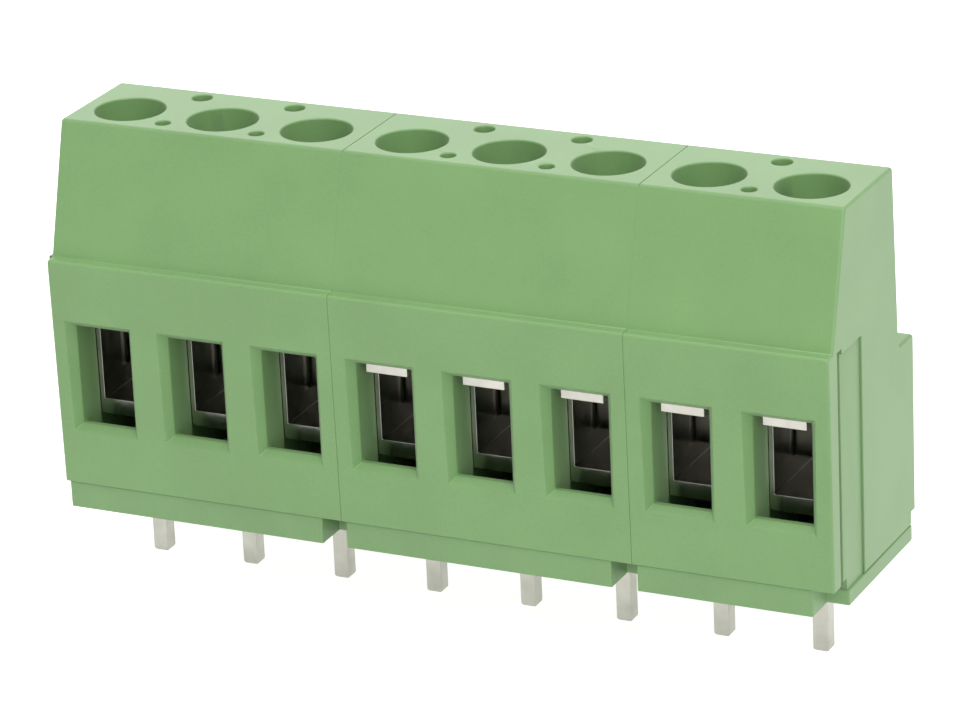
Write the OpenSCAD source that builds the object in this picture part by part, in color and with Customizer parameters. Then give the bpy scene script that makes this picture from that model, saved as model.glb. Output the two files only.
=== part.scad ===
// Eight-pole rising-cage terminal block for circuit boards, made of three
// interlocking modules. Millimetres. X runs along the row, -Y is the wire side,
// +Z is up. The origin is the middle of the solder-pin row on the board's face.

/* [Row] */
// Distance between neighbouring poles
pitch = 5.08; // [4.9:0.01:5.6]

/* [Housing] */
// Height of the flat top above the board
body_height = 19.5; // [18.8:0.1:22]
// Depth of the housing at its foot, front to rear
body_depth = 10.8; // [10.5:0.1:13]
// Distance from the front of the housing back to the solder pins
front_to_pins = 5.1; // [4.9:0.05:6]
// Distance from the front of the housing back to the screws
front_to_screws = 4.75; // [4.6:0.05:5]
// Height of the ledge on the front above the board
ledge_height = 13.05; // [12.8:0.05:14]
// Depth of the ledge
ledge_depth = 0.55; // [0.3:0.05:0.9]
// How far the front edge of the top lies behind the ledge's edge
top_setback = 2.4; // [1.6:0.05:2.6]
// Depth of the flat top, front to rear
top_depth = 6; // [5.6:0.1:6.8]
// Height of the step on the rear above the board
step_height = 10.4; // [9.4:0.1:12]
// How far the rear step stands out
step_depth = 1.9; // [1:0.1:2.2]
// How far the foot of the lower front leans in
front_draft = 0.2; // [0:0.05:0.4]
// Radius of the moulded outer edges
edge_radius = 0.2; // [0.1:0.05:0.3]

/* [Wire entries] */
// Width of a wire entry
throat_width = 2.9; // [2.2:0.1:3.4]
// Height of a wire entry
throat_height = 5.1; // [4:0.1:5.6]
// Height of the foot of a wire entry above the board
throat_foot = 4.48; // [4:0.02:5]
// Depth of the funnel at the mouth of a wire entry
funnel_depth = 0.6; // [0.3:0.1:0.9]
// How far the funnel flares on each side
funnel_flare = 0.42; // [0.2:0.02:0.6]
// Thickness of the sill at the foot of a wire entry
sill = 0.9; // [0.8:0.05:1.2]
// Depth of the hollow behind the sill
sill_hollow = 1.8; // [1:0.1:2.2]

/* [Top holes] */
// Diameter of a screwdriver hole
driver_hole_d = 3.5; // [2.8:0.1:3.7]
// Diameter of a rear tag hole
rear_tag_d = 1; // [0.6:0.1:1.2]
// Distance from the front of the housing back to the rear tag holes
front_to_rear_tags = 7.4; // [7:0.05:7.6]
// Diameter of a front tag hole
front_tag_d = 0.75; // [0.5:0.05:0.9]
// Distance from the front of the housing back to the front tag holes
front_to_front_tags = 3.4; // [3.2:0.05:3.8]
// Depth of the tag holes
tag_depth = 2; // [1:0.1:3]

/* [Interlock] */
// Distance from the front of the housing back to the groove's mouth
front_to_groove = 1.1; // [0.9:0.05:1.3]
// Width of the groove's mouth
groove_width = 0.55; // [0.4:0.05:0.65]
// Depth of the groove into the end face
groove_depth = 0.42; // [0.3:0.02:0.5]
// How far the groove is undercut towards the front
groove_undercut = 0.25; // [0.1:0.05:0.35]
// Distance from the ledge down to the groove's top
groove_drop = 0.1; // [0.05:0.05:0.5]
// Depth of the shallow relief behind the groove
relief_depth = 0.12; // [0.06:0.02:0.2]
// Width of the shallow relief behind the groove
relief_width = 2.45; // [1.5:0.05:3]
// Distance from the ledge down to the relief's top
relief_drop = 0.35; // [0.2:0.05:1]

/* [Base cover] */
// Height of the base cover's skirt
base_height = 1.4; // [1.2:0.1:1.7]
// Height of the cover's full-width lower layer
flange_height = 0.8; // [0.5:0.1:1]
// How far the skirt stands back from the foot of the front
skirt_setback = 0.1; // [0.05:0.05:0.3]
// How far the cover stands back from the rear of the housing
rear_setback = 0.5; // [0.2:0.1:0.8]
// How far the cover stands back from the left end of its housing
left_setback = 0.2; // [0.1:0.05:0.4]
// Width of the notch at the cover's front right corner
notch_width = 1.1; // [0.8:0.1:1.6]
// Distance from the front of the housing back to the end of the notch
front_to_notch_end = 2.1; // [1.9:0.1:2.6]
// Thickness of the housing's end wall beside the cover
foot_wall = 0.4; // [0.3:0.02:0.42]
// Height of the cover's plugs above its skirt
plug_height = 0.6; // [0.4:0.1:1]

/* [Clamp cage] */
// Thickness of the cage's strip
cage_sheet = 0.8; // [0.6:0.05:0.85]
// Width of the cage's window
window_width = 2.4; // [2.3:0.05:2.6]
// Height of the cage's window
window_height = 4.95; // [4.8:0.05:5.1]
// Depth of the cage, front to rear
cage_depth = 4.8; // [4.4:0.1:5.2]
// Gap between the two layers of the cage's doubled top
lap_gap = 0.05; // [0.03:0.01:0.08]
// How far the lap's free edge stays inside the cage's right side
lap_setback = 0.15; // [0.05:0.05:0.4]
// How far the cages of the left module stand above their lowest place
left_cage_raise = 0.15; // [0:0.05:1.5]

/* [Clamp screw] */
// Thread diameter of the screw
screw_d = 2.5; // [2.2:0.1:2.6]
// Rise of the cage for each turn of the screw
thread_pitch = 0.45; // [0.4:0.05:0.6]
// Diameter of the screw's head
head_d = 3.9; // [3.75:0.05:4]
// Height of the screw's head
head_height = 2; // [1.4:0.1:2.2]
// Width of the screw's slot
slot_width = 0.8; // [0.5:0.1:1]
// Depth of the screw's slot
slot_depth = 1.1; // [0.6:0.1:1.3]
// Diameter of the screw's plain tip
tip_d = 1.9; // [1.5:0.1:2]
// Length of the screw's plain tip
tip_length = 0.4; // [0.2:0.1:0.6]

/* [Contact] */
// Thickness of the contact's strip
contact_sheet = 0.8; // [0.6:0.05:0.9]
// Width of the contact's strip
contact_width = 2.2; // [1.6:0.1:2.2]
// Height of the current bar's underside above the board
bar_foot = 9.05; // [8.9:0.05:9.3]
// Distance from the front of the housing back to the current bar
front_to_bar = 0.85; // [0.75:0.05:1.5]
// How much further back the current bars of the left module end
left_bar_setback = 1.9; // [0:0.1:2.2]
// Distance from the cage's channel back to the contact's leg
leg_gap = 0.7; // [0.1:0.1:0.8]
// Width of the solder pin
pin_width = 0.8; // [0.5:0.05:1]
// Length of the solder pin below the board's face
pin_length = 3.85; // [2.5:0.05:5]
// Width of the chamfer round the solder pin's tip
pin_chamfer = 0.1; // [0.05:0.05:0.2]

/* [Fits] */
// Gap on each side of a cage in its channel
cage_play = 0.06; // [0.04:0.01:0.1]
// Gap all round the screw in the cage's threaded hole
screw_play = 0.05; // [0.02:0.01:0.08]
// Gap all round the screw's head in its pocket
head_play = 0.1; // [0.05:0.01:0.2]
// Gap above and below the screw between the shoulder and the current bar
end_play = 0.05; // [0.02:0.01:0.1]
// Gap between a cage and what limits its travel
stop_gap = 0.1; // [0.05:0.01:0.2]
// Gap between the tongue and its groove
tongue_play = 0.05; // [0.02:0.01:0.08]
// Gap round the cover's plugs, slots and the contact's leg
seat_play = 0.05; // [0.02:0.01:0.08]

/* [Hidden] */
$fn = 64;

// A cut reaches this far past the face that it opens
cut = 1;
arc_steps = 5;

// The row: three modules, their first poles and their left ends
module_poles = [3, 3, 2];
poles = 8;
first_pole = [1, 4, 7];
row_left = -poles * pitch / 2;
function pole_x(n) = row_left + (n - 0.5) * pitch;
function module_left(m) = row_left + (first_pole[m] - 1) * pitch;
function module_length(m) = module_poles[m] * pitch;

// Faces of the housing
front_y = -front_to_pins;
rear_y = front_y + body_depth;
screw_y = front_y + front_to_screws;
groove_y = front_y + front_to_groove;
relief_y = groove_y + groove_width;

// The cage and its channel
cage_width = window_width + 2 * cage_sheet;
cage_front_y = screw_y - cage_depth / 2;
cage_rear_y = screw_y + cage_depth / 2;
cage_top = 3 * cage_sheet + window_height + lap_gap;
channel_width = cage_width + 2 * cage_play;
channel_front_y = cage_front_y - cage_play;
channel_rear_y = cage_rear_y + cage_play;

// The contact: its bar inside the cage, its leg behind it, its foot on the cover
bar_top = bar_foot + contact_sheet;
foot_z = base_height + plug_height;
leg_front_y = channel_rear_y + leg_gap;
leg_rear_y = leg_front_y + contact_sheet;
bar_front_y = front_y + front_to_bar;
leg_slot_width = contact_width + 2 * seat_play;

// Heights of the cage's foot at its lowest and highest place
cage_low = bar_top + stop_gap - window_height - cage_sheet;
cage_high = bar_foot - stop_gap - cage_sheet;
function bar_setback(n) = n <= module_poles[0] ? left_bar_setback : 0;
function cage_raise(n) = n <= module_poles[0] ? left_cage_raise : 0;

// The screw: its tip on the bar, its head above the raised cage
channel_top = cage_high + cage_top + stop_gap;
screw_foot = bar_top + end_play;
head_foot = channel_top + stop_gap;
shoulder_z = head_foot + head_height + end_play;

// The points of a polygon with its corners rounded to their own radii
function unit(v) = v / norm(v);
function corner_arc(before, corner, after, radius) =
    radius <= 0 ? [corner] :
    let (
        u = unit(before - corner),
        v = unit(after - corner),
        half = acos(u * v) / 2,
        centre = corner + unit(u + v) * radius / sin(half),
        from = corner + u * radius / tan(half) - centre,
        to = corner + v * radius / tan(half) - centre,
        start = atan2(from.y, from.x),
        turn = (atan2(to.y, to.x) - start + 540) % 360 - 180
    )
    [for (k = [0:arc_steps]) let (a = start + turn * k / arc_steps)
        centre + radius * [cos(a), sin(a)]];
function rounded(points, radii) =
    let (count = len(points))
    [for (i = [0:count - 1]) each corner_arc(
        points[(i + count - 1) % count], points[i], points[(i + 1) % count], radii[i])];

// A Y-Z outline carried along X, and an X-Z outline carried along Y
module carry_x(x0, x1) {
    translate([x0, 0, 0]) rotate([90, 0, 90]) linear_extrude(x1 - x0) children();
}
module carry_y(y0, y1) {
    translate([0, y1, 0]) rotate([90, 0, 0]) linear_extrude(y1 - y0) children();
}
module box(low, high) {
    translate(low) cube(high - low);
}

// ---- Housing ----

// Side view of the housing: leaning foot, ledge, sloping front, flat top, rear step
module body_outline() {
    soft = edge_radius;
    polygon(rounded([
        [front_y + front_draft, base_height],
        [front_y, ledge_height],
        [front_y + ledge_depth, ledge_height],
        [front_y + top_setback, body_height],
        [front_y + top_setback + top_depth, body_height],
        [rear_y - step_depth, step_height],
        [rear_y, step_height],
        [rear_y, base_height]
    ], [0, soft, soft / 2, soft, soft, soft, soft, 0]));
}

// The funnel: a trapezoid seen from above crossed with one seen from the side
module funnel() {
    inner = throat_width / 2;
    outer = inner + funnel_flare;
    throat_top = throat_foot + throat_height;
    slope = funnel_flare / funnel_depth;
    mouth_y = front_y - cut;
    back_y = front_y + funnel_depth;
    flare = funnel_flare + slope * cut;
    intersection() {
        translate([0, 0, throat_foot - 2 * flare])
            linear_extrude(throat_height + 4 * flare)
            polygon([
                [-inner - flare, mouth_y], [inner + flare, mouth_y],
                [inner, back_y], [-inner, back_y]
            ]);
        carry_x(-outer - cut, outer + cut)
            polygon([
                [mouth_y, throat_foot - flare], [back_y, throat_foot],
                [back_y, throat_top], [mouth_y, throat_top + flare]
            ]);
    }
}

// Everything hollow in one pole, from the screwdriver hole down to the open foot
module pole_hollow() {
    throat_top = throat_foot + throat_height;
    funnel();
    box([-throat_width / 2, front_y - cut, throat_foot],
        [throat_width / 2, channel_front_y + cut, throat_top]);
    // Behind its sill the wire entry drops away
    box([-throat_width / 2, front_y + sill, throat_foot - sill_hollow],
        [throat_width / 2, channel_front_y + cut, throat_foot + cut]);
    // The front end of the current bar stands in a slot over the wire entry
    box([-leg_slot_width / 2, bar_front_y - seat_play, throat_top - cut],
        [leg_slot_width / 2, channel_front_y + cut, bar_top + seat_play]);
    box([-channel_width / 2, channel_front_y, base_height - cut],
        [channel_width / 2, channel_rear_y, channel_top]);
    box([-leg_slot_width / 2, channel_rear_y - cut, base_height - cut],
        [leg_slot_width / 2, leg_rear_y + seat_play, bar_top + seat_play]);
    translate([0, screw_y, 0]) {
        translate([0, 0, channel_top - cut])
            cylinder(d = head_d + 2 * head_play, h = shoulder_z - channel_top + cut);
        translate([0, 0, shoulder_z - cut])
            cylinder(d = driver_hole_d, h = body_height - shoulder_z + 2 * cut);
    }
}

// Two small blind holes for a marking tag, between neighbouring poles
module tag_holes() {
    for (hole = [[front_to_rear_tags, rear_tag_d], [front_to_front_tags, front_tag_d]])
        translate([0, front_y + hole[0], body_height - tag_depth])
            cylinder(d = hole[1], h = tag_depth + cut);
}

// Plan of the dovetail at an end face at x = 0, less a play. It grows towards -X:
// into a module's right end as the groove, and out of the left end as the tongue
module dovetail_plan(play) {
    polygon([
        [cut, groove_y + play],
        [0, groove_y + play],
        [play - groove_depth, groove_y - groove_undercut + play],
        [play - groove_depth, groove_y + groove_width - play],
        [cut, groove_y + groove_width - play]
    ]);
}

module housing(m) {
    length = module_length(m);
    groove_top = ledge_height - groove_drop;
    color([0.47, 0.66, 0.42])
    translate([module_left(m), 0, 0]) {
        difference() {
            union() {
                carry_x(0, length) body_outline();
                // The end wall reaches down beside the base cover
                box([length - foot_wall, front_y + front_to_notch_end, flange_height],
                    [length, rear_y - rear_setback, base_height + cut]);
                // The tongue that enters the next module's groove
                translate([0, 0, base_height])
                    linear_extrude(groove_top - tongue_play - base_height)
                    dovetail_plan(tongue_play);
            }
            for (i = [1:module_poles[m]])
                translate([(i - 0.5) * pitch, 0, 0]) pole_hollow();
            for (i = [1:module_poles[m] - 1])
                translate([i * pitch, 0, 0]) tag_holes();
            translate([length, 0, base_height - cut])
                linear_extrude(groove_top - base_height + cut)
                dovetail_plan(0);
            box([length - relief_depth, relief_y - groove_width / 2, flange_height - cut],
                [length + cut, relief_y + relief_width, ledge_height - relief_drop]);
        }
    }
}

// ---- Base cover ----

// Plan of the cover under module m, its right end drawn in by a setback
module cover_plan(m, end_setback) {
    right = module_length(m);
    skirt_y = front_y + front_draft + skirt_setback;
    notch_y = front_y + front_to_notch_end;
    back_y = rear_y - rear_setback;
    polygon([
        [left_setback, skirt_y],
        [right - notch_width, skirt_y],
        [right - notch_width, notch_y],
        [right - end_setback, notch_y],
        [right - end_setback, back_y],
        [left_setback, back_y]
    ]);
}

// One plug, which closes a pole's hollow from below and carries the contact's foot
module cover_plug() {
    half = channel_width / 2 - seat_play;
    leg_half = leg_slot_width / 2 - seat_play;
    plug_y = max(channel_front_y, front_y + front_to_notch_end) + seat_play;
    box([-half, plug_y, base_height],
        [half, channel_rear_y - seat_play, foot_z]);
    box([-leg_half, channel_rear_y - cut, base_height],
        [leg_half, leg_rear_y, foot_z]);
}

module pin_slot() {
    half = pin_width / 2 + seat_play;
    box([-half, -contact_sheet / 2 - seat_play, -cut],
        [half, contact_sheet / 2 + seat_play, foot_z + cut]);
}

module base_cover(m) {
    color([0.49, 0.68, 0.45])
    translate([module_left(m), 0, 0])
    difference() {
        union() {
            linear_extrude(flange_height) cover_plan(m, 0);
            linear_extrude(base_height) cover_plan(m, foot_wall + seat_play);
            for (i = [1:module_poles[m]])
                translate([(i - 0.5) * pitch, 0, 0]) cover_plug();
        }
        for (i = [1:module_poles[m]])
            translate([(i - 0.5) * pitch, 0, 0]) pin_slot();
    }
}

// ---- Clamp screw ----

// Turned profile, with a plain tip, a chamfered shank and a cheese head
module screw_profile() {
    r = screw_d / 2;
    tip = tip_d / 2;
    head = head_d / 2;
    shank = head_foot - screw_foot;
    lead = r - tip;
    soft = edge_radius;
    polygon(rounded([
        [0, 0],
        [tip, 0],
        [tip, tip_length],
        [r, tip_length + lead],
        [r, shank],
        [head, shank],
        [head, shank + head_height],
        [0, shank + head_height]
    ], [0, 0, 0, 0, 0, 0, soft, 0]));
}

// The slot's angle follows the thread: a raised cage means a screw turned further
module clamp_screw(n) {
    color([0.78, 0.78, 0.76])
    translate([pole_x(n), screw_y, screw_foot])
    rotate([0, 0, -360 * cage_raise(n) / thread_pitch])
    difference() {
        rotate_extrude() screw_profile();
        box([-head_d, -slot_width / 2, head_foot - screw_foot + head_height - slot_depth],
            [head_d, slot_width / 2, head_foot - screw_foot + head_height + cut]);
    }
}

// ---- Clamp cage ----

// Front view of the bent strip. It starts as the lap's lower layer, goes down the
// right side, along the foot, up the left side and back over as the upper layer
module cage_outline() {
    half = cage_width / 2;
    inner = window_width / 2;
    bend = cage_sheet + lap_gap;
    lap_z = 2 * cage_sheet + window_height;
    difference() {
        polygon(rounded([
            [-half, 0], [half, 0], [half, lap_z], [half - bend, lap_z],
            [half - bend, lap_z + lap_gap], [half - lap_setback, lap_z + lap_gap],
            [half - lap_setback, cage_top], [-half, cage_top]
        ], [bend, bend, cage_sheet, 0, 0, 0, 0, bend]));
        polygon(rounded([
            [-inner, cage_sheet], [inner, cage_sheet],
            [inner, lap_z - cage_sheet], [-inner, lap_z - cage_sheet]
        ], [lap_gap, lap_gap, lap_gap, lap_gap]));
        translate([-inner, lap_z - cage_sheet - lap_gap])
            square([lap_gap, cage_sheet + 2 * lap_gap]);
        translate([-inner, lap_z]) square([2 * half, lap_gap]);
    }
}

// The tapped hole runs on down the insides of the legs, as far as the screw reaches
// when the cage is up
module clamp_cage(n) {
    bore_foot = screw_foot - cage_high;
    color([0.82, 0.82, 0.80])
    translate([pole_x(n), 0, cage_low + cage_raise(n)])
    difference() {
        carry_y(cage_front_y, cage_rear_y) cage_outline();
        translate([0, screw_y, bore_foot])
            cylinder(d = screw_d + 2 * screw_play, h = cage_top - bore_foot + cut);
    }
}

// ---- Contact ----

// Side view of the bent strip: current bar, rear leg and foot
module contact_outline(setback) {
    bar_end_y = bar_front_y + setback;
    inner_bend = seat_play;
    outer_bend = contact_sheet + inner_bend;
    pin_front = -contact_sheet / 2;
    foot_top = foot_z + contact_sheet;
    polygon(rounded([
        [bar_end_y, bar_foot], [leg_front_y, bar_foot],
        [leg_front_y, foot_top], [pin_front, foot_top],
        [pin_front, foot_z], [leg_rear_y, foot_z],
        [leg_rear_y, bar_top], [bar_end_y, bar_top]
    ], [0, inner_bend, inner_bend, contact_sheet - inner_bend,
        0, outer_bend, outer_bend, 0]));
}

// A pin outline in one view: straight sides and a chamfered tip
module pin_outline(width, top) {
    half = width / 2;
    shoulder = pin_chamfer - pin_length;
    polygon([
        [-half, top], [-half, shoulder], [pin_chamfer - half, -pin_length],
        [half - pin_chamfer, -pin_length], [half, shoulder], [half, top]
    ]);
}

module contact(n) {
    color([0.80, 0.79, 0.75])
    translate([pole_x(n), 0, 0]) {
        carry_x(-contact_width / 2, contact_width / 2) contact_outline(bar_setback(n));
        intersection() {
            carry_x(-pin_width / 2, pin_width / 2)
                pin_outline(contact_sheet, foot_z + contact_sheet / 2);
            carry_y(-contact_sheet, contact_sheet)
                pin_outline(pin_width, foot_z + contact_sheet / 2);
        }
    }
}

housing(0);  // housing_left
housing(1);  // housing_middle
housing(2);  // housing_right
base_cover(0);  // base_cover_left
base_cover(1);  // base_cover_middle
base_cover(2);  // base_cover_right
for (n = [1:poles]) clamp_screw(n);
for (n = [1:poles]) clamp_cage(n);
for (n = [1:poles]) contact(n);
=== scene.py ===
"""Dresses the eight-pole clamp terminal block for its studio picture.

The moulded housings and base covers, the bent cages and contacts, and the turned
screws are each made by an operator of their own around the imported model. Lengths are
in metres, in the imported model's frame: +X along the row, -Y the wire side, +Z up.
"""
from math import cos, pi, radians, sin

import bmesh
import bpy
from mathutils import Matrix, Vector


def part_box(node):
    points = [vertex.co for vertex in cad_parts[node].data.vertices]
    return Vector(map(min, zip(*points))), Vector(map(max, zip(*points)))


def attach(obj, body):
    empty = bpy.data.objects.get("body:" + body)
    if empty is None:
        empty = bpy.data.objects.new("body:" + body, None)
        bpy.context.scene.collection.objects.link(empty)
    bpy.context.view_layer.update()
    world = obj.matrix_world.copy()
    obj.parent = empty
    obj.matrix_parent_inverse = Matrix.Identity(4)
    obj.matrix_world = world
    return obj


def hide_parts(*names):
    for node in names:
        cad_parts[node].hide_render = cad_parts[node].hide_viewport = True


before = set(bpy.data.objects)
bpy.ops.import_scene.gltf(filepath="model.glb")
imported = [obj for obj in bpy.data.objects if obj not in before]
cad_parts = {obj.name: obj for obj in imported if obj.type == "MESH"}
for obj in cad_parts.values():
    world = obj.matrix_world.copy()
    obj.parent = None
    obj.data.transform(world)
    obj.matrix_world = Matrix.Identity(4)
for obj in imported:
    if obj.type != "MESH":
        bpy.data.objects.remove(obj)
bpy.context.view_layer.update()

bl_info = {
    "name": "Clamp terminal block",
    "version": (1, 0, 0),
    "blender": (4, 5, 0),
    "location": "3D View > Sidebar > Terminal",
    "description": "Finishes an eight-pole rising-cage terminal block for circuit boards",
    "category": "Object",
}

MM = 0.001
POLES = range(1, 9)
MODULES = ("left", "middle", "right")
HOUSING_BOXES = [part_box(f"housing_{name}") for name in MODULES]
FRONT_Y = HOUSING_BOXES[0][0].y
TOP_Z = HOUSING_BOXES[0][1].z
PIN_TIP_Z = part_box("contact_1")[0].z
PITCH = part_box("clamp_screw_2")[0].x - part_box("clamp_screw_1")[0].x
SCREW_LOW, SCREW_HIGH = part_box("clamp_screw_4")
SCREW_Y = (SCREW_LOW.y + SCREW_HIGH.y) / 2

LEFT_POLES = 3
# The row's ends without the tongue that stands out of the left one
ROW_ENDS = (HOUSING_BOXES[0][1].x - LEFT_POLES * PITCH, HOUSING_BOXES[2][1].x)
# Where the shallow inset of a housing's end begins and stops, from the front face
INSET_DEPTHS = (0.6 * MM, 4.3 * MM)
# How far below the top face the inset and the wire entries begin
INSET_DROP = 6.3 * MM
ENTRY_DROP = 6 * MM
ENTRY_DEPTH = 1.0 * MM
RIM_BAND = 0.05 * MM
COVER_SHOWS_BELOW = 1.45 * MM

SHARP_ANGLE = radians(32)
FLAT_ANGLE = radians(0.5)
SAME_PLACE = 1e-5
MERGE_DISTANCE = 1e-6
SCREW_SIDES = 48
ROWS_PER_TURN = 10
FEWEST_SCREW_FACES = 1000


# ---- Settings ----

def length(name, description, default):
    """A property for a size in metres."""
    return bpy.props.FloatProperty(name=name, description=description, default=default,
                                   min=0.0, unit="LENGTH", precision=5)


def number(name, description, default, subtype="NONE"):
    """A property for a plain number or an angle."""
    return bpy.props.FloatProperty(name=name, description=description, default=default,
                                   subtype=subtype)


def colour(name, description, default):
    """A property for a linear colour."""
    return bpy.props.FloatVectorProperty(name=name, description=description,
                                         default=default, size=3, min=0.0, max=1.0,
                                         subtype="COLOR")


class MouldingSettings(bpy.types.PropertyGroup):
    """Finish of the moulded housings and base covers."""
    end_edge: length("End edge", "Width of the soft edge round the row's two ends", 0.14 * MM)
    seam_edge: length("Seam edge", "Width of the soft edge where two modules meet", 0.03 * MM)
    mouth_edge: length("Mouth edge", "Width of the soft edge of wire entries and grooves",
                       0.05 * MM)
    rim_edge: length("Rim edge", "Width of the soft rim of the round holes", 0.07 * MM)
    cover_edge: length("Cover edge", "Width of the soft edge of the base covers", 0.08 * MM)
    green: colour("Green", "Colour of the housings", (0.175, 0.338, 0.117))
    cover_green: colour("Cover green", "Colour of the base covers", (0.179, 0.334, 0.127))
    roughness: number("Roughness", "Mean roughness of the moulded skin", 0.48)


class MetalSettings(bpy.types.PropertyGroup):
    """Finish of the cages, contacts and screws."""
    strip_edge: length("Strip edge", "Width of the soft edge of the punched strips",
                       0.05 * MM)
    nickel: colour("Nickel", "Colour of the cages", (0.46, 0.45, 0.42))
    tin: colour("Tin", "Colour of the contacts", (0.49, 0.478, 0.43))
    zinc: colour("Zinc", "Colour of the screws", (0.62, 0.63, 0.64))


class ScrewSettings(bpy.types.PropertyGroup):
    """Sizes of the turned clamp screws."""
    thread_diameter: length("Thread diameter", "Diameter over the thread's crests", 2.5 * MM)
    thread_depth: length("Thread depth", "Depth of the thread", 0.22 * MM)
    thread_pitch: length("Thread pitch", "Rise of one turn of the thread", 0.45 * MM)
    tip_diameter: length("Tip diameter", "Diameter of the plain tip", 1.9 * MM)
    tip_length: length("Tip length", "Length of the plain tip", 0.4 * MM)
    head_height: length("Head height", "Height of the head", 2 * MM)
    head_chamfer: length("Head chamfer", "Width of the chamfer on the head", 0.18 * MM)
    slot_width: length("Slot width", "Width of the screwdriver slot", 0.8 * MM)
    slot_depth: length("Slot depth", "Depth of the screwdriver slot", 1.1 * MM)
    left_turn: number("Left turn", "How far the left module's screws are turned",
                      radians(-120), "ANGLE")


class StudioSettings(bpy.types.PropertyGroup):
    """Camera, lamps and floor."""
    azimuth: number("Azimuth", "Camera's direction round the block", radians(26.25), "ANGLE")
    elevation: number("Elevation", "Camera's height angle", radians(21.26), "ANGLE")
    roll: number("Roll", "Camera's turn about its own line of sight", radians(-2.64), "ANGLE")
    distance: length("Distance", "Distance from the camera to its aim", 238.2 * MM)
    lens: number("Lens", "Focal length in millimetres on a 36 mm sensor", 187.5)
    aim: bpy.props.FloatVectorProperty(name="Aim", description="Point the camera looks at",
                                       default=(0.873 * MM, -1.1 * MM, 9.077 * MM),
                                       size=3, subtype="XYZ", unit="LENGTH")
    sky: number("Sky", "Strength of the white surroundings on the block", 0.45)
    key: number("Key", "Strength of the lamp in front on the right, in watts", 0.45)
    top: number("Top", "Strength of the lamp overhead, in watts", 0.85)
    side: number("Side", "Strength of the lamp on the right, in watts", 0.15)
    rear: number("Rear", "Strength of the lamp behind on the left, in watts", 0.35)
    floor_glow: number("Floor glow", "Own brightness of the floor as the camera sees it", 0.75)


# ---- Meshes ----

def merged_copy(node, name):
    """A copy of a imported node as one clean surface, its flat faces whole."""
    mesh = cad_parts[node].data.copy()
    mesh.materials.clear()
    surface = bmesh.new()
    surface.from_mesh(mesh)
    bmesh.ops.remove_doubles(surface, verts=surface.verts, dist=MERGE_DISTANCE)
    bmesh.ops.dissolve_limit(surface, angle_limit=FLAT_ANGLE, verts=surface.verts,
                             edges=surface.edges)
    surface.to_mesh(mesh)
    surface.free()
    mesh.name = name
    piece = bpy.data.objects.new(name, mesh)
    bpy.context.scene.collection.objects.link(piece)
    return piece


def soften_edges(piece, widest, width_at):
    """Rounds each sharp edge by the width that width_at(edge) gives, up to widest."""
    surface = bmesh.new()
    surface.from_mesh(piece.data)
    weight = surface.edges.layers.float.new("bevel_weight_edge")
    for edge in surface.edges:
        if len(edge.link_faces) == 2 and edge.calc_face_angle(0) > SHARP_ANGLE:
            edge[weight] = min(1.0, width_at(edge) / widest)
    surface.to_mesh(piece.data)
    surface.free()
    bevel = piece.modifiers.new("Soft edges", "BEVEL")
    bevel.limit_method = "WEIGHT"
    bevel.width = widest
    bevel.segments = 3
    bevel.use_clamp_overlap = False
    bake_modifiers(piece)
    shade_by_area(piece)


def shade_by_area(piece):
    """Shades a piece smooth, with true flats beside its soft edges."""
    piece.data.polygons.foreach_set("use_smooth", [True] * len(piece.data.polygons))
    piece.data.set_sharp_from_angle(angle=SHARP_ANGLE)
    weighted = piece.modifiers.new("Flats", "WEIGHTED_NORMAL")
    weighted.keep_sharp = True
    weighted.weight = 100
    bake_modifiers(piece)


def bake_modifiers(piece):
    """Replaces a piece's mesh by the result of its modifiers, and removes them."""
    depsgraph = bpy.context.evaluated_depsgraph_get()
    made = bpy.data.meshes.new_from_object(piece.evaluated_get(depsgraph),
                                           preserve_all_data_layers=True,
                                           depsgraph=depsgraph)
    made.name = piece.name
    piece.modifiers.clear()
    piece.data = made


def finish_piece(piece, material, body, node):
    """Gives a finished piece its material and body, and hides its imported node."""
    if not piece.data.materials:
        piece.data.materials.append(material)
    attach(piece, body)
    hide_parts(node)


# ---- Materials ----

def add(tree, kind, inputs=(), **settings):
    """Adds a node, with its settings and the values or links of its inputs."""
    made = tree.nodes.new(kind)
    for key, value in settings.items():
        setattr(made, key, value)
    for key, value in dict(inputs).items():
        if isinstance(value, bpy.types.NodeSocket):
            tree.links.new(value, made.inputs[key])
        else:
            made.inputs[key].default_value = value
    return made


def new_material(name):
    """An empty node material, its tree and its Principled shader."""
    material = bpy.data.materials.new(name)
    material.use_nodes = True
    tree = material.node_tree
    return material, tree, tree.nodes["Principled BSDF"]


def shade(rgb, factor):
    """A colour made lighter or darker, with its alpha."""
    return tuple(min(1.0, channel * factor) for channel in rgb) + (1.0,)


def noise(tree, place, scale, detail=3.0):
    """A noise pattern's grey output on the given coordinates."""
    return add(tree, "ShaderNodeTexNoise", {"Vector": place, "Scale": scale,
                                            "Detail": detail}).outputs["Fac"]


def ramp(tree, value, low, high, dark, light):
    """Maps a grey value between two levels onto two colours."""
    made = add(tree, "ShaderNodeValToRGB", {"Fac": value})
    made.color_ramp.elements[0].position = low
    made.color_ramp.elements[1].position = high
    made.color_ramp.elements[0].color = dark
    made.color_ramp.elements[1].color = light
    return made.outputs["Color"]


def remap(tree, value, low, high):
    """Maps a grey value onto the span from low to high."""
    return add(tree, "ShaderNodeMapRange", {"Value": value, "To Min": low,
                                            "To Max": high}).outputs["Result"]


def direct_rays(tree):
    """One for the rays that show their target directly or mirrored, nought for the rest."""
    rays = add(tree, "ShaderNodeLightPath").outputs
    seen = rays["Is Camera Ray"]
    for kind in ("Is Transmission Ray", "Is Glossy Ray"):
        seen = add(tree, "ShaderNodeMath", {0: seen, 1: rays[kind]},
                   operation="MAXIMUM").outputs[0]
    return seen


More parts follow.
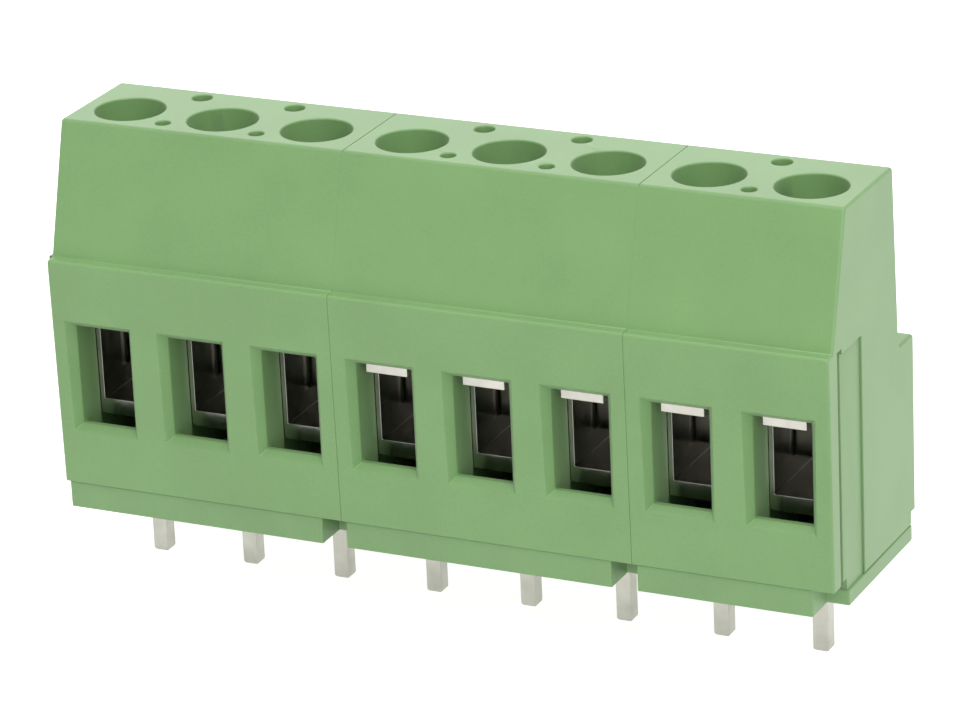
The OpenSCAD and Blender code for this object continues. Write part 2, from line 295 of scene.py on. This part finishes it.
def moulded_plastic(name, green, roughness):
    """Green polyamide: faint cloudiness, a fine spark-eroded grain and slow waviness."""
    material, tree, shader = new_material(name)
    place = add(tree, "ShaderNodeTexCoord").outputs["Object"]
    clouds = noise(tree, place, 260.0, 4.0)
    grain = noise(tree, place, 9000.0, 2.0)
    body = ramp(tree, clouds, 0.3, 0.7, shade(green, 0.95), shade(green, 1.05))
    speckle = ramp(tree, grain, 0.35, 0.65, (0.97, 0.97, 0.97, 1), (1.03, 1.03, 1.03, 1))
    mixed = add(tree, "ShaderNodeMix", data_type="RGBA", blend_type="MULTIPLY")
    mixed.inputs[0].default_value = 1.0
    tree.links.new(body, mixed.inputs[6])
    tree.links.new(speckle, mixed.inputs[7])
    tree.links.new(mixed.outputs[2], shader.inputs["Base Color"])
    tree.links.new(remap(tree, grain, roughness - 0.06, roughness + 0.06),
                   shader.inputs["Roughness"])
    waves = noise(tree, place, 420.0, 1.0)
    slow = add(tree, "ShaderNodeBump", {"Strength": 0.05, "Distance": 0.08 * MM,
                                        "Height": waves})
    fine = add(tree, "ShaderNodeBump", {"Strength": 0.10, "Distance": 0.01 * MM,
                                        "Height": grain, "Normal": slow.outputs["Normal"]})
    tree.links.new(fine.outputs["Normal"], shader.inputs["Normal"])
    shader.inputs["IOR"].default_value = 1.53
    shader.inputs["Specular IOR Level"].default_value = 0.65
    shader.inputs["Sheen Weight"].default_value = 0.2
    shader.inputs["Sheen Roughness"].default_value = 0.45
    return material


def plated_metal(name, rgb, roughness, stretch, scratch):
    """Plated strip: cloudy plating with fine rolling lines drawn out along one axis."""
    material, tree, shader = new_material(name)
    place = add(tree, "ShaderNodeTexCoord").outputs["Object"]
    drawn = add(tree, "ShaderNodeMapping", {"Vector": place, "Scale": stretch})
    lines = noise(tree, drawn.outputs["Vector"], 5200.0, 3.0)
    clouds = noise(tree, place, 900.0, 3.0)
    tint = ramp(tree, clouds, 0.3, 0.7, shade(rgb, 0.88), shade(rgb, 1.08))
    tree.links.new(tint, shader.inputs["Base Color"])
    tree.links.new(remap(tree, lines, roughness - 0.08, roughness + 0.10),
                   shader.inputs["Roughness"])
    bump = add(tree, "ShaderNodeBump", {"Strength": scratch, "Distance": 0.006 * MM,
                                        "Height": lines})
    tree.links.new(bump.outputs["Normal"], shader.inputs["Normal"])
    shader.inputs["Metallic"].default_value = 1.0
    return material


def turned_metal(name, rgb):
    """Zinc-plated turned steel: fine rings about each screw's own axis."""
    material, tree, shader = new_material(name)
    place = add(tree, "ShaderNodeTexCoord").outputs["Object"]
    split = add(tree, "ShaderNodeSeparateXYZ", {"Vector": place})

    def calc(operation, first, second=0.0):
        return add(tree, "ShaderNodeMath", {0: first, 1: second},
                   operation=operation).outputs[0]

    # The poles repeat along X, so the distance from the nearest screw's axis does too
    column = calc("DIVIDE", split.outputs["X"], PITCH)
    across = calc("MULTIPLY", calc("SUBTRACT", calc("FRACT", calc("ADD", column, 8.0)), 0.5),
                  PITCH)
    along = calc("SUBTRACT", split.outputs["Y"], SCREW_Y)
    radius = calc("SQRT", calc("ADD", calc("MULTIPLY", across, across),
                               calc("MULTIPLY", along, along)))
    rings = calc("SINE", calc("MULTIPLY", radius, 2 * pi / (0.11 * MM)))
    clouds = noise(tree, place, 1500.0, 3.0)
    tree.links.new(ramp(tree, clouds, 0.3, 0.7, shade(rgb, 0.86), shade(rgb, 1.06)),
                   shader.inputs["Base Color"])
    tree.links.new(remap(tree, clouds, 0.24, 0.42), shader.inputs["Roughness"])
    bump = add(tree, "ShaderNodeBump", {"Strength": 0.25, "Distance": 0.005 * MM,
                                        "Height": rings})
    tree.links.new(bump.outputs["Normal"], shader.inputs["Normal"])
    shader.inputs["Metallic"].default_value = 1.0
    return material


# ---- Geometry Nodes ----

def turned_screw_tree():
    """Builds a slotted screw: a threaded shank, a plain tip and a chamfered head."""
    tree = bpy.data.node_groups.new("Turned screw", "GeometryNodeTree")
    tree.interface.new_socket("Screw", in_out="OUTPUT", socket_type="NodeSocketGeometry")
    for name, kind in (("Foot", "Vector"), ("Thread radius", "Float"),
                       ("Thread depth", "Float"), ("Thread pitch", "Float"),
                       ("Shank length", "Float"), ("Tip radius", "Float"),
                       ("Tip length", "Float"), ("Head radius", "Float"),
                       ("Head height", "Float"), ("Head chamfer", "Float"),
                       ("Slot width", "Float"), ("Slot depth", "Float"),
                       ("Turn", "Float"), ("Finish", "Material")):
        tree.interface.new_socket(name, in_out="INPUT", socket_type=f"NodeSocket{kind}")
    given = tree.nodes.new("NodeGroupInput").outputs
    result = tree.nodes.new("NodeGroupOutput")

    def calc(operation, first, second=0.0):
        return add(tree, "ShaderNodeMath", {0: first, 1: second},
                   operation=operation).outputs[0]

    def upright(x=0.0, y=0.0, z=0.0):
        return add(tree, "ShaderNodeCombineXYZ", {"X": x, "Y": y, "Z": z}).outputs[0]

    def drum(low, high, foot_radius, top_radius, rows=1):
        """A closed drum or cone frustum between two heights."""
        cone = add(tree, "GeometryNodeMeshCone",
                   {"Vertices": SCREW_SIDES, "Side Segments": rows, "Radius Top": top_radius,
                    "Radius Bottom": foot_radius, "Depth": calc("SUBTRACT", high, low)})
        return add(tree, "GeometryNodeTransform", {
            "Geometry": cone.outputs["Mesh"],
            "Translation": upright(z=low)}).outputs[0]

    # The shank, its skin pushed in between the crests of a right-hand helix
    tip = given["Tip length"]
    lead = calc("SUBTRACT", given["Thread radius"], given["Tip radius"])
    thread_low = calc("ADD", tip, lead)
    turns = calc("DIVIDE", given["Shank length"], given["Thread pitch"])
    rows = calc("MULTIPLY", turns, ROWS_PER_TURN)
    shank = drum(thread_low, given["Shank length"], given["Thread radius"],
                 given["Thread radius"], rows)
    spot = add(tree, "ShaderNodeSeparateXYZ",
               {"Vector": add(tree, "GeometryNodeInputPosition").outputs[0]}).outputs
    bearing = calc("DIVIDE", calc("ARCTAN2", spot["Y"], spot["X"]), 2 * pi)
    phase = calc("SUBTRACT", calc("DIVIDE", spot["Z"], given["Thread pitch"]), bearing)
    wave = calc("MULTIPLY", calc("ABSOLUTE", calc("SUBTRACT", calc("FRACT", phase), 0.5)), 2)
    groove = add(tree, "ShaderNodeMapRange", {"Value": wave, "From Min": 0.15,
                                              "From Max": 0.9}).outputs["Result"]
    runout = add(tree, "ShaderNodeMapRange", {
        "Value": calc("SUBTRACT", given["Shank length"], spot["Z"]), "From Min": 0.1 * MM,
        "From Max": 0.5 * MM}).outputs["Result"]
    sink = calc("MULTIPLY", calc("MULTIPLY", groove, runout), given["Thread depth"])
    outwards = add(tree, "ShaderNodeVectorMath", {0: upright(spot["X"], spot["Y"])},
                   operation="NORMALIZE").outputs[0]
    offset = add(tree, "ShaderNodeVectorMath", {
        0: outwards, "Scale": calc("MULTIPLY", sink, -1)}, operation="SCALE").outputs[0]
    threaded = add(tree, "GeometryNodeSetPosition", {"Geometry": shank,
                                                     "Offset": offset}).outputs[0]

    # The tip with its lead cone, and the head with its chamfer and slot
    core = calc("SUBTRACT", given["Thread radius"], given["Thread depth"])
    top = calc("ADD", given["Shank length"], given["Head height"])
    shoulder = calc("SUBTRACT", top, given["Head chamfer"])
    overlap = 0.02 * MM
    rounds = [
        drum(0.0, calc("ADD", tip, overlap), given["Tip radius"], given["Tip radius"]),
        drum(tip, calc("ADD", thread_low, overlap), given["Tip radius"], core),
        drum(given["Shank length"], shoulder, given["Head radius"], given["Head radius"]),
        drum(shoulder, top, given["Head radius"],
             calc("SUBTRACT", given["Head radius"], given["Head chamfer"])),
    ]
    joined = add(tree, "GeometryNodeMeshBoolean", operation="UNION", solver="EXACT")
    for part in [threaded] + rounds:
        tree.links.new(part, joined.inputs["Mesh 2"])
    cutter = add(tree, "GeometryNodeMeshCube", {
        "Size": upright(calc("MULTIPLY", given["Head radius"], 3), given["Slot width"],
                        calc("MULTIPLY", given["Slot depth"], 2))})
    placed = add(tree, "GeometryNodeTransform", {"Geometry": cutter.outputs["Mesh"],
                                                 "Translation": upright(z=top)})
    slotted = add(tree, "GeometryNodeMeshBoolean", {"Mesh 1": joined.outputs["Mesh"]},
                  operation="DIFFERENCE", solver="EXACT")
    tree.links.new(placed.outputs[0], slotted.inputs["Mesh 2"])

    turned = add(tree, "GeometryNodeTransform", {
        "Geometry": slotted.outputs["Mesh"], "Translation": given["Foot"],
        "Rotation": upright(z=given["Turn"])})
    real = add(tree, "GeometryNodeRealizeInstances", {"Geometry": turned.outputs[0]})
    coated = add(tree, "GeometryNodeSetMaterial", {"Geometry": real.outputs[0],
                                                   "Material": given["Finish"]})
    tree.links.new(coated.outputs[0], result.inputs["Screw"])
    return tree


def grow(tree, name, values):
    """Runs a Geometry Nodes tree with named values and returns its result as a piece."""
    piece = bpy.data.objects.new(name, bpy.data.meshes.new(name))
    bpy.context.scene.collection.objects.link(piece)
    modifier = piece.modifiers.new(name, "NODES")
    modifier.node_group = tree
    sockets = {item.name: item.identifier for item in tree.interface.items_tree
               if item.in_out == "INPUT"}
    for key, value in values.items():
        modifier[sockets[key]] = value
    bake_modifiers(piece)
    shade_by_area(piece)
    return piece


# ---- Operators ----

class TERMINAL_OT_housings(bpy.types.Operator):
    """Make the three moulded housings"""
    bl_idname = "terminal.housings"
    bl_label = "Housings"

    def execute(self, context):
        moulding = context.scene.terminal_moulding
        finish = moulded_plastic("Green polyamide", moulding.green[:], moulding.roughness)
        for name, (low, high) in zip(MODULES, HOUSING_BOXES):
            piece = merged_copy(f"housing_{name}", f"{name}_housing")
            right_x = high.x
            left_x = max(low.x, ROW_ENDS[0])

            def width_at(edge):
                middle = (edge.verts[0].co + edge.verts[1].co) / 2
                for end_x in (left_x, right_x):
                    if all(abs(vert.co.x - end_x) < SAME_PLACE for vert in edge.verts):
                        inset = INSET_DEPTHS[0] < middle.y - FRONT_Y < INSET_DEPTHS[1]
                        if inset and middle.z < TOP_Z - INSET_DROP:
                            return moulding.seam_edge
                        at_row_end = min(abs(end_x - x) for x in ROW_ENDS) < SAME_PLACE
                        return moulding.end_edge if at_row_end else moulding.seam_edge
                if middle.y < FRONT_Y + ENTRY_DEPTH and middle.z < TOP_Z - ENTRY_DROP:
                    return moulding.mouth_edge
                if middle.z > TOP_Z - RIM_BAND:
                    return moulding.rim_edge
                return 0.0

            soften_edges(piece, moulding.end_edge, width_at)
            finish_piece(piece, finish, "block", f"housing_{name}")
        return {"FINISHED"}


class TERMINAL_OT_base_covers(bpy.types.Operator):
    """Make the three base covers"""
    bl_idname = "terminal.base_covers"
    bl_label = "Base covers"

    def execute(self, context):
        moulding = context.scene.terminal_moulding
        finish = moulded_plastic("Green cover polyamide", moulding.cover_green[:],
                                 moulding.roughness + 0.03)
        for name in MODULES:
            piece = merged_copy(f"base_cover_{name}", f"{name}_base_cover")
            soften_edges(piece, moulding.cover_edge, lambda edge: (
                moulding.cover_edge
                if max(vert.co.z for vert in edge.verts) < COVER_SHOWS_BELOW else 0.0))
            finish_piece(piece, finish, "block", f"base_cover_{name}")
        return {"FINISHED"}


class TERMINAL_OT_contacts(bpy.types.Operator):
    """Make the eight bent contacts with their solder pins"""
    bl_idname = "terminal.contacts"
    bl_label = "Contacts"

    def execute(self, context):
        metal = context.scene.terminal_metal
        finish = plated_metal("Dull tin", metal.tin[:], 0.40, (1.0, 1.0, 0.12), 0.25)
        for pole in POLES:
            piece = merged_copy(f"contact_{pole}", f"pin_contact_{pole}")
            soften_edges(piece, metal.strip_edge, lambda edge: metal.strip_edge)
            finish_piece(piece, finish, "block", f"contact_{pole}")
        return {"FINISHED"}


class TERMINAL_OT_cages(bpy.types.Operator):
    """Make the eight bent clamp cages"""
    bl_idname = "terminal.cages"
    bl_label = "Cages"

    def execute(self, context):
        metal = context.scene.terminal_metal
        finish = plated_metal("Bright nickel", metal.nickel[:], 0.20, (1.0, 0.1, 1.0), 0.3)
        for pole in POLES:
            piece = merged_copy(f"clamp_cage_{pole}", f"cage_{pole}")
            soften_edges(piece, metal.strip_edge, lambda edge: metal.strip_edge * 0.4)
            finish_piece(piece, finish, f"cage_{pole}", f"clamp_cage_{pole}")
        return {"FINISHED"}


class TERMINAL_OT_screws(bpy.types.Operator):
    """Turn the eight slotted clamp screws"""
    bl_idname = "terminal.screws"
    bl_label = "Screws"

    def execute(self, context):
        sizes = context.scene.terminal_screw
        finish = turned_metal("Bright zinc", context.scene.terminal_metal.zinc[:])
        tree = turned_screw_tree()
        for pole in POLES:
            low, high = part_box(f"clamp_screw_{pole}")
            piece = grow(tree, f"screw_{pole}", {
                "Foot": ((low.x + high.x) / 2, (low.y + high.y) / 2, low.z),
                "Thread radius": sizes.thread_diameter / 2,
                "Thread depth": sizes.thread_depth,
                "Thread pitch": sizes.thread_pitch,
                "Shank length": high.z - low.z - sizes.head_height,
                "Tip radius": sizes.tip_diameter / 2,
                "Tip length": sizes.tip_length,
                "Head radius": (high.x - low.x) / 2,
                "Head height": sizes.head_height,
                "Head chamfer": sizes.head_chamfer,
                "Slot width": sizes.slot_width,
                "Slot depth": sizes.slot_depth,
                "Turn": sizes.left_turn if pole <= LEFT_POLES else 0.0,
                "Finish": finish,
            })
            if len(piece.data.polygons) < FEWEST_SCREW_FACES:
                raise RuntimeError(f"screw {pole} came out without its thread")
            finish_piece(piece, finish, f"screw_{pole}", f"clamp_screw_{pole}")
        return {"FINISHED"}


class TERMINAL_OT_stage(bpy.types.Operator):
    """Set the pale floor, the soft lamps, the white surroundings and the camera"""
    bl_idname = "terminal.stage"
    bl_label = "Stage"

    def execute(self, context):
        studio = context.scene.terminal_studio
        self.white_surroundings(context.scene, studio)
        self.pale_floor(context.scene, studio)
        self.soft_lamps(context.scene, studio)
        self.camera(context.scene, studio)
        context.scene.view_settings.view_transform = "Standard"
        return {"FINISHED"}

    def white_surroundings(self, scene, studio):
        world = bpy.data.worlds.new("White surroundings")
        world.use_nodes = True
        tree = world.node_tree
        tree.nodes.clear()
        strength = remap(tree, direct_rays(tree), studio.sky, 1.0)
        white = add(tree, "ShaderNodeBackground", {"Color": (1, 1, 1, 1),
                                                   "Strength": strength})
        out = add(tree, "ShaderNodeOutputWorld")
        tree.links.new(white.outputs[0], out.inputs["Surface"])
        scene.world = world

    def pale_floor(self, scene, studio):
        mesh = bpy.data.meshes.new("floor")
        half = 1.5
        corners = ((-half, -half), (half, -half), (half, half), (-half, half))
        mesh.from_pydata([(x, y, PIN_TIP_Z) for x, y in corners], [], [(0, 1, 2, 3)])
        floor = bpy.data.objects.new("floor", mesh)
        scene.collection.objects.link(floor)
        material, tree, shader = new_material("Pale floor")
        shader.inputs["Base Color"].default_value = (0.82, 0.82, 0.82, 1)
        shader.inputs["Roughness"].default_value = 0.9
        strength = add(tree, "ShaderNodeMath", {0: direct_rays(tree), 1: studio.floor_glow},
                       operation="MULTIPLY").outputs[0]
        glow = add(tree, "ShaderNodeEmission", {"Color": (1, 1, 1, 1),
                                                "Strength": strength})
        both = add(tree, "ShaderNodeAddShader")
        tree.links.new(shader.outputs[0], both.inputs[0])
        tree.links.new(glow.outputs[0], both.inputs[1])
        out = tree.nodes["Material Output"]
        tree.links.new(both.outputs[0], out.inputs["Surface"])
        mesh.materials.append(material)

    def soft_lamps(self, scene, studio):
        for name, watts, size, place in (
                ("key", studio.key, 0.25, (0.24, -0.28, 0.20)),
                ("top", studio.top, 0.30, (0.04, -0.10, 0.36)),
                ("side", studio.side, 0.25, (0.36, 0.12, 0.06)),
                ("rear", studio.rear, 0.30, (-0.20, 0.34, 0.18))):
            lamp = bpy.data.lights.new(name, "AREA")
            lamp.energy = watts
            lamp.size = size
            holder = bpy.data.objects.new(name, lamp)
            holder.location = place
            holder.rotation_mode = "QUATERNION"
            holder.rotation_quaternion = (Vector(place) - Vector(studio.aim)) \
                .to_track_quat("Z", "Y")
            scene.collection.objects.link(holder)

    def camera(self, scene, studio):
        azimuth, elevation = studio.azimuth, studio.elevation
        back = Vector((sin(azimuth) * cos(elevation), -cos(azimuth) * cos(elevation),
                       sin(elevation)))
        level = (-back).cross(Vector((0, 0, 1))).normalized()
        over = level.cross(-back)
        right = level * cos(studio.roll) + over * sin(studio.roll)
        up = over * cos(studio.roll) - level * sin(studio.roll)
        camera = bpy.data.cameras.new("camera")
        camera.sensor_width = 36.0
        camera.lens = studio.lens
        camera.clip_start, camera.clip_end = 0.01, 10.0
        holder = bpy.data.objects.new("camera", camera)
        turn = Matrix((right, up, back)).transposed().to_4x4()
        holder.matrix_world = Matrix.Translation(
            Vector(studio.aim) + back * studio.distance) @ turn
        scene.collection.objects.link(holder)
        scene.camera = holder


class TERMINAL_PT_block(bpy.types.Panel):
    """Lists the steps that finish the terminal block"""
    bl_idname = "TERMINAL_PT_block"
    bl_label = "Terminal block"
    bl_space_type = "VIEW_3D"
    bl_region_type = "UI"
    bl_category = "Terminal"

    def draw(self, context):
        for step in STEPS:
            self.layout.operator(step.bl_idname)
        for name in SETTINGS:
            group = getattr(context.scene, name)
            box = self.layout.box()
            for key in group.bl_rna.properties.keys():
                if key not in ("rna_type", "name"):
                    box.prop(group, key)


STEPS = (TERMINAL_OT_housings, TERMINAL_OT_base_covers, TERMINAL_OT_contacts,
         TERMINAL_OT_cages, TERMINAL_OT_screws, TERMINAL_OT_stage)
SETTINGS = {"terminal_moulding": MouldingSettings, "terminal_metal": MetalSettings,
            "terminal_screw": ScrewSettings, "terminal_studio": StudioSettings}


def register():
    for cls in (*SETTINGS.values(), *STEPS, TERMINAL_PT_block):
        bpy.utils.register_class(cls)
    for name, cls in SETTINGS.items():
        setattr(bpy.types.Scene, name, bpy.props.PointerProperty(type=cls))


def unregister():
    for name in SETTINGS:
        delattr(bpy.types.Scene, name)
    for cls in reversed((*SETTINGS.values(), *STEPS, TERMINAL_PT_block)):
        bpy.utils.unregister_class(cls)


def main():
    """Registers the classes and runs every step in order."""
    register()
    bpy.ops.terminal.housings()
    bpy.ops.terminal.base_covers()
    bpy.ops.terminal.contacts()
    bpy.ops.terminal.cages()
    bpy.ops.terminal.screws()
    bpy.ops.terminal.stage()


if __name__ == "__main__":
    main()
